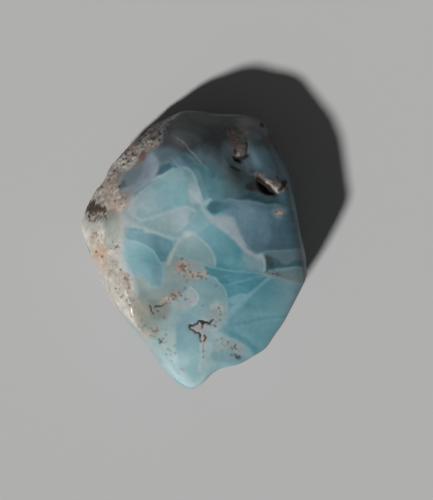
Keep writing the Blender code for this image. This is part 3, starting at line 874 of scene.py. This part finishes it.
laySpots([(216.5, 285, 1.2), (164.5, 317.5, 1.2), (173, 298.3, 1.1), (177.5, 300, 1), (170, 303, 1),
    (166, 301, 0.9), (185, 288, 1.1), (184.5, 276.5, 0.9), (185, 300.5, 0.9), (187.5, 299, 1),
    (190, 302, 0.8), (188.5, 264.5, 0.9), (188.7, 268, 0.8), (181, 266, 1.1), (150, 299.5, 0.8),
    (203.5, 357, 1.2), (238, 357.5, 1.6), (236, 355, 1.3), (232, 355, 0.9), (216.5, 340, 1),
    (96.5, 251.5, 0.9), (102.5, 256.5, 1.1), (202.5, 305.5, 0.8), (166.5, 334.5, 0.8), (166.5, 354.5, 0.7),
    (121, 269.5, 1), (115.5, 288.5, 1), (182, 258.5, 1), (114, 249.5, 0.8), (113, 242, 0.8),
    (117.5, 246, 0.9), (193, 277, 1), (203, 277, 0.9), (278, 177, 1.4)], soft=0.6, ragged=0.3, strength=0.8,
    depth=0.015, soot=0.85)

# small dots, which stay off the steep flank
markSeen = ease(facing, *edges["dotsFrom"])
for x, y, long, short, turn, count in (
        (172, 298, 13, 4, -25, 30), (188, 300, 8, 4, 0, 10), (183, 269, 9, 6, 20, 22),
        (199, 276, 7, 3, 0, 16), (218, 310, 5, 9, 0, 16), (228, 345, 12, 5, 25, 24),
        (158, 334, 13, 9, 30, 26), (170, 352, 8, 9, 0, 12), (203, 349, 2, 9, 0, 10),
        (95, 216, 10, 4, 20, 18), (150, 138, 10, 9, 0, 18), (126, 155, 11, 7, -30, 14),
        (109, 174, 6, 11, 20, 9), (238, 357, 5, 3, 20, 8), (275, 274, 10, 3, 15, 9),
        (212, 326, 6, 4, 0, 9), (166, 126, 8, 7, 0, 12)):
    layScatter(x, y, long, short, turn, count, crust=0.7, dark=1.0, soot=0.55)
for x, y, long, short, turn, count in (
        (130, 306, 6, 14, -20, 14), (115, 246, 5, 7, 0, 10), (128, 282, 5, 7, 30, 12),
        (112, 264, 7, 10, 0, 10), (98, 240, 10, 14, 0, 14), (280, 213, 6, 5, 0, 12),
        (120, 200, 6, 12, 0, 12), (168, 320, 12, 8, 0, 14), (140, 325, 8, 14, -30, 12),
        (180, 285, 12, 6, 0, 8)):
    layScatter(x, y, long, short, turn, count, radius=(0.4, 0.9), crust=0.7, dark=0.75, soot=0.1)
for x, y, long, short, turn, count in (
        (171, 297, 12, 4, -25, 14), (184, 268, 8, 6, 0, 10), (198, 275, 6, 3, 0, 6), (228, 344, 11, 5, 25, 8),
        (280, 213, 6, 4, 0, 7), (98, 253, 6, 7, 0, 6), (150, 145, 8, 5, -30, 8), (240, 130, 7, 9, 0, 14)):
    layScatter(x, y, long, short, turn, count, crust=0.8, dark=0.3, rust=0.3)

# the two pits beyond the crest, and the rind round them, down to the pits' own walls
markSeen = ease(points[:, 2], *edges["pitsFrom"])
pitLook = {"shine": 0.1, "rough": 0.5, "deep": 0.8, "grey": 0.9}
layCell([(230, 124), (235, 122), (240, 130), (245, 140), (247, 148), (245, 157), (236, 158), (231, 150),
    (228, 136)], soft=3.5, ragged=2.5, crust=0.62, dark=0.72, specks=0.6, flecks=0.3, **pitLook)
layCell([(234, 142), (240, 143), (245, 147), (244, 155), (237, 156), (233, 150)], soft=2.5, ragged=2,
    crust=0.85, dark=0.74, flecks=0.25, specks=0.5)
layCell([(227, 124), (233, 125), (236, 138), (234, 150), (229, 146), (226, 134)], soft=4, ragged=2,
    strength=0.6, rust=0.2, dark=0.85, crust=0.6, specks=0.6)
layCell([(236, 118), (248, 117), (252, 128), (249, 138), (239, 132)], soft=6, ragged=2.5, strength=0.85,
    crust=0.55, dark=0.42, blush=0.1, flecks=0.35, deep=0.62, grey=1.0)
layCell([(256, 171), (261, 172.5), (266, 177), (273, 180), (281, 180), (289, 181), (289, 187), (284, 191),
    (278, 193), (270, 187), (259, 180)], soft=1.8, ragged=1.6, crust=0.75, dark=0.66, specks=0.5,
    flecks=0.3, **pitLook)
layCell([(264, 178), (271, 180), (280, 182), (281, 187), (277, 191), (270, 186)], ragged=1.5, dark=0.6,
    crust=0.9, flecks=0.4, specks=0.4)
layCell([(262, 174), (268, 178), (278, 180), (286, 178), (284, 170), (270, 168)], soft=1.8, ragged=1,
    strength=0.8, crust=0.0, flecks=0.0, specks=0.0, rough=0.0, deep=0.66, grey=0.8)
# black under the upper pit's lip: painted shade
layCell([(233, 157), (239, 156.8), (245, 156.8), (247, 159.5), (240, 161.5), (234, 160.5)], soft=1.2,
    ragged=0.6, crisp=True, soot=0.9, flecks=0.0, shine=0.0)
# black under the larger pit's lip: painted shade
layCell([(257, 178.5), (262, 180), (267, 183.5), (272, 189), (276.5, 194), (268, 195), (259, 192.5),
    (254, 187)], soft=1.4, ragged=1, crisp=True, soot=1.0, crust=0.8, dark=0.95, flecks=0.0, shine=0.0)
# the pale rind wall along that lip: partly painted light where the wall faces the key light
layVein([(266, 179.5), (270, 183.5), (274.5, 188), (278, 192)], wide=(2.2, 2.8), soft=1.1, crisp=True,
    strength=0.8, ragged=0.6, dark=0.42, crust=1.0, soot=0.0, blush=0.1, specks=0.3)
# a black band right under that lip: painted shade
layVein([(236, 159), (241, 158.2), (247, 156)], wide=4, soft=1.2, crisp=True, soot=1.0, shine=0.0,
    flecks=0.0)
# a paler spot on the lip's tip: painted light where the lip catches the key light
laySpots([(237.5, 154.3, 2.6)], soft=1.2, ragged=0.6, strength=0.8, dark=0.25, crust=1.0, soot=0.0,
    specks=0.0)
layVein([(246, 142.5), (246.5, 148), (245, 155)], wide=1.8, soft=0.9, crisp=True, ragged=0.3, soot=0.9,
    flecks=0.0)
# a pale line along the upper pit's right edge: painted light where that edge catches the key light
layVein([(248, 142), (248.8, 147), (248, 153)], strength=0.6, crisp=True, deep=0.4, crust=0.2, soot=0.0)
layVein([(231, 166.5), (235, 168.5), (239.5, 170.5)], wide=2.4, crisp=True, ragged=0.4, soot=0.8)
layVein([(233, 164.5), (237, 166.5), (241, 169.5)], wide=1.4, soft=0.8, strength=0.5, crisp=True, deep=0.5,
    grey=0.9)
# a dark patch left of the larger pit: painted shade
layVein([(249, 185), (255, 186), (262, 189)], wide=6, soft=2.5, ragged=0.6, soot=0.6)
layVein([(251, 168), (252, 173), (251, 178)], wide=1.6, strength=0.6, soot=0.5)
layVein([(251, 174), (258, 174), (264, 176)], soft=1.2, strength=0.5, deep=0.45, grey=0.9)
layCell([(281.5, 181.5), (285, 180), (287.5, 181.5), (286, 185), (283, 189), (279.5, 192.5), (277.5, 190.5),
    (280.5, 186.5)], soft=1.2, ragged=0.8, crisp=True, soot=0.88, flecks=0.0)
layVein([(288, 184), (286, 188), (283, 191.5)], wide=1.4, soft=0.8, strength=0.6, crisp=True, soot=0.0,
    dark=0.3, crust=0.9)
layCell([(288, 180), (294, 182), (294, 194), (286, 196), (284, 192), (288, 186)], crust=0.0, specks=0.0,
    flecks=0.0, rough=0.0, deep=0.76, grey=0.5)
layCell([(266, 136), (270, 134), (273, 139), (273, 145), (269, 147), (265, 142)], soft=2.2, strength=0.9,
    rust=0.12, dark=1.0, crust=0.95)
laySpots([(262, 124.5, 3)], soft=1.2, ragged=1, soot=1.0)
layVein([(233, 128), (233.5, 136)], wide=1.6, strength=0.4, dark=0.4, crust=0.8)
laySpots([(280, 176, 1)], soft=0.6, strength=0.8, deep=0.3)

markSeen = seen
# dull below the rind, and a thin broken ridge there that catches the light
layCell([(128, 300), (140, 306), (152, 324), (166, 350), (180, 376), (172, 384), (150, 352), (132, 326)],
    soft=4, shine=0.0)
for path in (
        [(124.5, 288.5), (126, 291.5), (127.3, 295)],
        [(128, 297.5), (130, 303)],
        [(131.5, 308), (133, 316)]):
    layVein(path, wide=1.6, soft=0.9, crisp=True, depth=-0.05, shine=1.0, rough=0.0)
laySpots([(133.5, 295.5, 0.9)], soft=0.6, depth=-0.04, shine=1.0)
print("stains, cracks and pits laid")

# relief: the rind is rough, the polished face hardly is
surface = {
    "grains": ((1.1, 0.12), (0.5, 0.09), (0.3, 0.09)),  # mm, the rind's grains and how high they stand
    "grainSeed": 41,
    "rindSunk": 0.03,                                   # mm
    "ripple": (0.9, 0.012),                             # mm, the size and height of the polish's unevenness
    "rippleSeed": 44,
    "flankShine": 0.5,                                  # share of the shine that steep faces keep
    "flankFrom": (0.25, 0.7),
}
flat = ease(normals[:, 2], *surface["flankFrom"])
amounts["shine"] *= surface["flankShine"] + (1 - surface["flankShine"]) * flat
grain = 0
for i, (size, high) in enumerate(surface["grains"]):
    grain += high * (softNoise(points, size, surface["grainSeed"] + i) - 0.5)
relief += amounts["rough"] * (grain - surface["rindSunk"])
size, high = surface["ripple"]
relief += (1 - amounts["rough"]) * high * (softNoise(points, size, surface["rippleSeed"]) - 0.5)
moved = (points + normals * relief[:, None]) * mm
moved[:, 2] -= moved[:, 2].min()
moved = np.clip(moved, cadBounds[0], cadBounds[1])
stone.data.vertices.foreach_set("co", moved.astype(np.float32).ravel())
for name, values in amounts.items():
    layer = stone.data.attributes.new(name, "FLOAT", "POINT")
    layer.data.foreach_set("value", np.clip(values, 0, 1).astype(np.float32))
stone.data.update()
stone.data.shade_smooth()
print("relief and markings stored")

# larimar, tumble polished, with its natural rind left on: a soft waxy gloss over cloudy blue
# that light sinks into, and a dull chalky rind full of small pits
larimar = {
    "blues": ("#cbd6d4", "#a7bdbf", "#84a5a9", "#66949c", "#4b818c", "#336671", "#1f3d47"),
    "greys": ("#cfcecb", "#b0b1af", "#93979a", "#7b8185", "#62686c", "#484c50", "#232426"),
    "sages": ("#c9cbbd", "#acb0a2", "#929788", "#7d8476", "#676e61", "#4e544a", "#2a2e28"),
    "lilacs": ("#c6dbe8", "#a5b6c7", "#8a9aad", "#6b8094", "#51677a", "#384a5b", "#1f2934"),
    "rinds": ("#cecbc3", "#aba79e", "#8b857d", "#67605b", "#453e3a", "#211c1a"),
    "rust": "#a3703f",
    "blush": "#8f6058",
    # near-black, for manganese and for the painted shade under the pits' lips
    "soot": "#15100e",
    "fleck": "#b9b2a6",
    "speck": "#3a2a21",
    "noises": {              # size in mm, and detail
        "cloud": (1.4, 3),
        "fibre": (0.5, 4),
        "mottle": (0.7, 4),
        "grain": (0.22, 3),
        "fine": (0.3, 4),
        "finer": (0.24, 4),
    },
    "crumble": 0.6,          # roughness of the noises
    "bump": {"Strength": 0.6, "Distance": 0.05 * mm},
    "shader": {
        "IOR": 1.6,
        "Specular IOR Level": 0.4,
        "Subsurface Radius": (0.7, 1.0, 1.1),
        "Subsurface Scale": 0.6 * mm,
    },
}
# each row makes a value: its name, how, and from what: numbers, amounts, noises and rows above it
larimarRows = [
    ("cloudy", "MULTIPLY_ADD", "cloud", 0.1, -0.01),
    ("fibrous", "MULTIPLY_ADD", "fibre", 0.18, -0.09),
    ("clouded", "ADD", "deep", "cloudy"),
    ("depth", "ADD", "clouded", "fibrous"),
    ("uneven", "MULTIPLY_ADD", "rough", 0.4, 0.6),
    ("mottling", "MULTIPLY_ADD", "mottle", 0.9, -0.45),
    ("mottled", "MULTIPLY", "mottling", "uneven"),
    ("graining", "MULTIPLY_ADD", "grain", 0.4, -0.2),
    ("grained", "MULTIPLY", "graining", "uneven"),
    ("darkened", "ADD", "dark", "mottled"),
    ("rindTone", "ADD", "darkened", "grained"),
    ("patchy", "MULTIPLY_ADD", "mottle", 0.8, -0.4),
    ("patches", "MULTIPLY", "patchy", 0.6),
    ("rindPlace", "ADD", "crust", "patches"),
    ("rindShare", "LINEAR", "rindPlace", 0.3, 0.75),
    ("staining", "MULTIPLY_ADD", "grain", 1.2, 0.1),
    ("stained", "MULTIPLY", "rust", "staining"),
    ("blushed", "MULTIPLY", "blush", 0.7),
    ("gloss", "MULTIPLY_ADD", "shine", -0.55, 0.72),
    ("dulled", "MULTIPLY_ADD", "soot", 0.25, "gloss"),
    ("dull", "MULTIPLY_ADD", "grain", 0.12, "dulled"),
    ("grit", "ADD", "grain", "fibre"),
    ("height", "MULTIPLY", "rough", "grit"),
    ("chalky", "MULTIPLY", "rindShare", 0.8),
    ("opaque", "MAXIMUM", "soot", "chalky"),
    ("milky", "MULTIPLY_ADD", "opaque", -0.3, 0.3),
]
for mark, noise in (("fleck", "fine"), ("speck", "finer")):
    # more of the noise passes where the amount is higher
    larimarRows += [
        (mark + "Low", "MULTIPLY_ADD", mark + "s", -0.3, 0.72),
        (mark + "High", "ADD", mark + "Low", 0.05),
        (mark + "Passed", "SMOOTHSTEP", noise, mark + "Low", mark + "High"),
        (mark + "Most", "MULTIPLY", mark + "s", 2.5),
        (mark + "Cap", "MINIMUM", mark + "Most", 0.7),
        (mark + "Shown", "MULTIPLY", mark + "Passed", mark + "Cap"),
    ]
larimarRamps = {"blues": "depth", "greys": "depth", "sages": "depth", "lilacs": "depth", "rinds": "rindTone"}
larimarLayers = (
    ("grey", "greys"), ("sage", "sages"), ("lilac", "lilacs"), ("rindShare", "rinds"), ("stained", "rust"),
    ("blushed", "blush"), ("fleckShown", "fleck"), ("speckShown", "speck"), ("soot", "soot"),
)


def makeLarimar():
    paint = bpy.data.materials.new("larimarTumblePolished")
    paint.use_nodes = True
    tree = paint.node_tree
    shader = tree.nodes["Principled BSDF"]
    place = addNode(tree, "ShaderNodeTexCoord", "Object", {})
    made = {}
    for name in amounts:
        made[name] = addNode(tree, "ShaderNodeAttribute", "Fac", {}, attribute_name=name)
    for name, (size, detail) in larimar["noises"].items():
        inputs = {"Vector": place, "Scale": 1 / (size * mm), "Detail": detail}
        inputs["Roughness"] = larimar["crumble"]
        made[name] = addNode(tree, "ShaderNodeTexNoise", "Fac", inputs)
    for name, how, *values in larimarRows:
        inputs = {i: made.get(value, value) for i, value in enumerate(values)}
        if how in ("LINEAR", "SMOOTHSTEP"):
            made[name] = addNode(tree, "ShaderNodeMapRange", 0, inputs, interpolation_type=how)
        else:
            made[name] = addNode(tree, "ShaderNodeMath", 0, inputs, operation=how)
    tones = {name: linearOf(tone) for name, tone in larimar.items() if isinstance(tone, str)}
    for name, factor in larimarRamps.items():
        tones[name] = addNode(tree, "ShaderNodeValToRGB", "Color", {"Fac": made[factor]})
        stops = tones[name].node.color_ramp.elements
        while len(stops) < len(larimar[name]):
            stops.new(1.0)
        for i, colour in enumerate(larimar[name]):
            stops[i].position = i / (len(stops) - 1)
            stops[i].color = linearOf(colour)
    colour = tones["blues"]
    for share, tone in larimarLayers:
        inputs = {0: made[share], 6: colour, 7: tones[tone]}
        colour = addNode(tree, "ShaderNodeMix", 2, inputs, data_type="RGBA")
    bump = addNode(tree, "ShaderNodeBump", "Normal", {"Height": made["height"], **larimar["bump"]})
    for socket, output in (("Base Color", colour), ("Roughness", made["dull"]), ("Normal", bump),
                           ("Subsurface Weight", made["milky"])):
        tree.links.new(output, shader.inputs[socket])
    for socket, value in larimar["shader"].items():
        shader.inputs[socket].default_value = value
    return paint


stone.data.materials.clear()
stone.data.materials.append(makeLarimar())
print("materials made")

# floor, light and camera
room = {
    "floorSide": 1.6,             # m
    "floorColour": "#adadac",
    "floorShader": {"Roughness": 0.9, "Specular IOR Level": 0.1},
    "keyFrom": (-0.636, -0.772),  # towards the key light, seen from above
    "keyHeight": 47.5,            # degrees above the floor
    "keyStrength": 4.0,
    "keyWidth": 5.5,              # degrees across, which sets the shadow's soft edge
    "fill": 0.08,
}


def makeFloor():
    bpy.ops.mesh.primitive_plane_add(size=room["floorSide"])
    floor = bpy.context.object
    floor.name = "paleFloor"
    paint = bpy.data.materials.new("paperPaleMatt")
    paint.use_nodes = True
    shader = paint.node_tree.nodes["Principled BSDF"]
    shader.inputs["Base Color"].default_value = linearOf(room["floorColour"])
    for socket, value in room["floorShader"].items():
        shader.inputs[socket].default_value = value
    floor.data.materials.append(paint)
    return floor


def makeLight():
    height = math.radians(room["keyHeight"])
    towards = Vector((*(c * math.cos(height) for c in room["keyFrom"]), math.sin(height)))
    key = bpy.data.lights.new("keyLight", "SUN")
    key.energy = room["keyStrength"]
    key.angle = math.radians(room["keyWidth"])
    lamp = bpy.data.objects.new("keyLight", key)
    lamp.rotation_euler = towards.to_track_quat("Z", "Y").to_euler()
    bpy.context.scene.collection.objects.link(lamp)
    world = bpy.data.worlds.new("softFill")
    world.use_nodes = True
    background = world.node_tree.nodes["Background"]
    background.inputs["Color"].default_value = (1, 1, 1, 1)
    background.inputs["Strength"].default_value = room["fill"]
    bpy.context.scene.world = world


def makeCamera():
    eye, _ = benchEye()
    data = bpy.data.cameras.new("benchCamera")
    data.lens = bench["lens"]
    data.sensor_width = bench["film"]
    data.clip_start, data.clip_end = bench["clip"]
    camera = bpy.data.objects.new("benchCamera", data)
    camera.location = Vector(eye) * mm
    camera.rotation_euler = (-math.radians(bench["lean"]), 0, 0)
    bpy.context.scene.collection.objects.link(camera)
    bpy.context.scene.camera = camera


floor = makeFloor()
makeLight()
makeCamera()
bpy.context.scene.view_settings.view_transform = "Standard"
print("floor, light and camera in place")

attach(stone, "root")
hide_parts("larimar_stone")
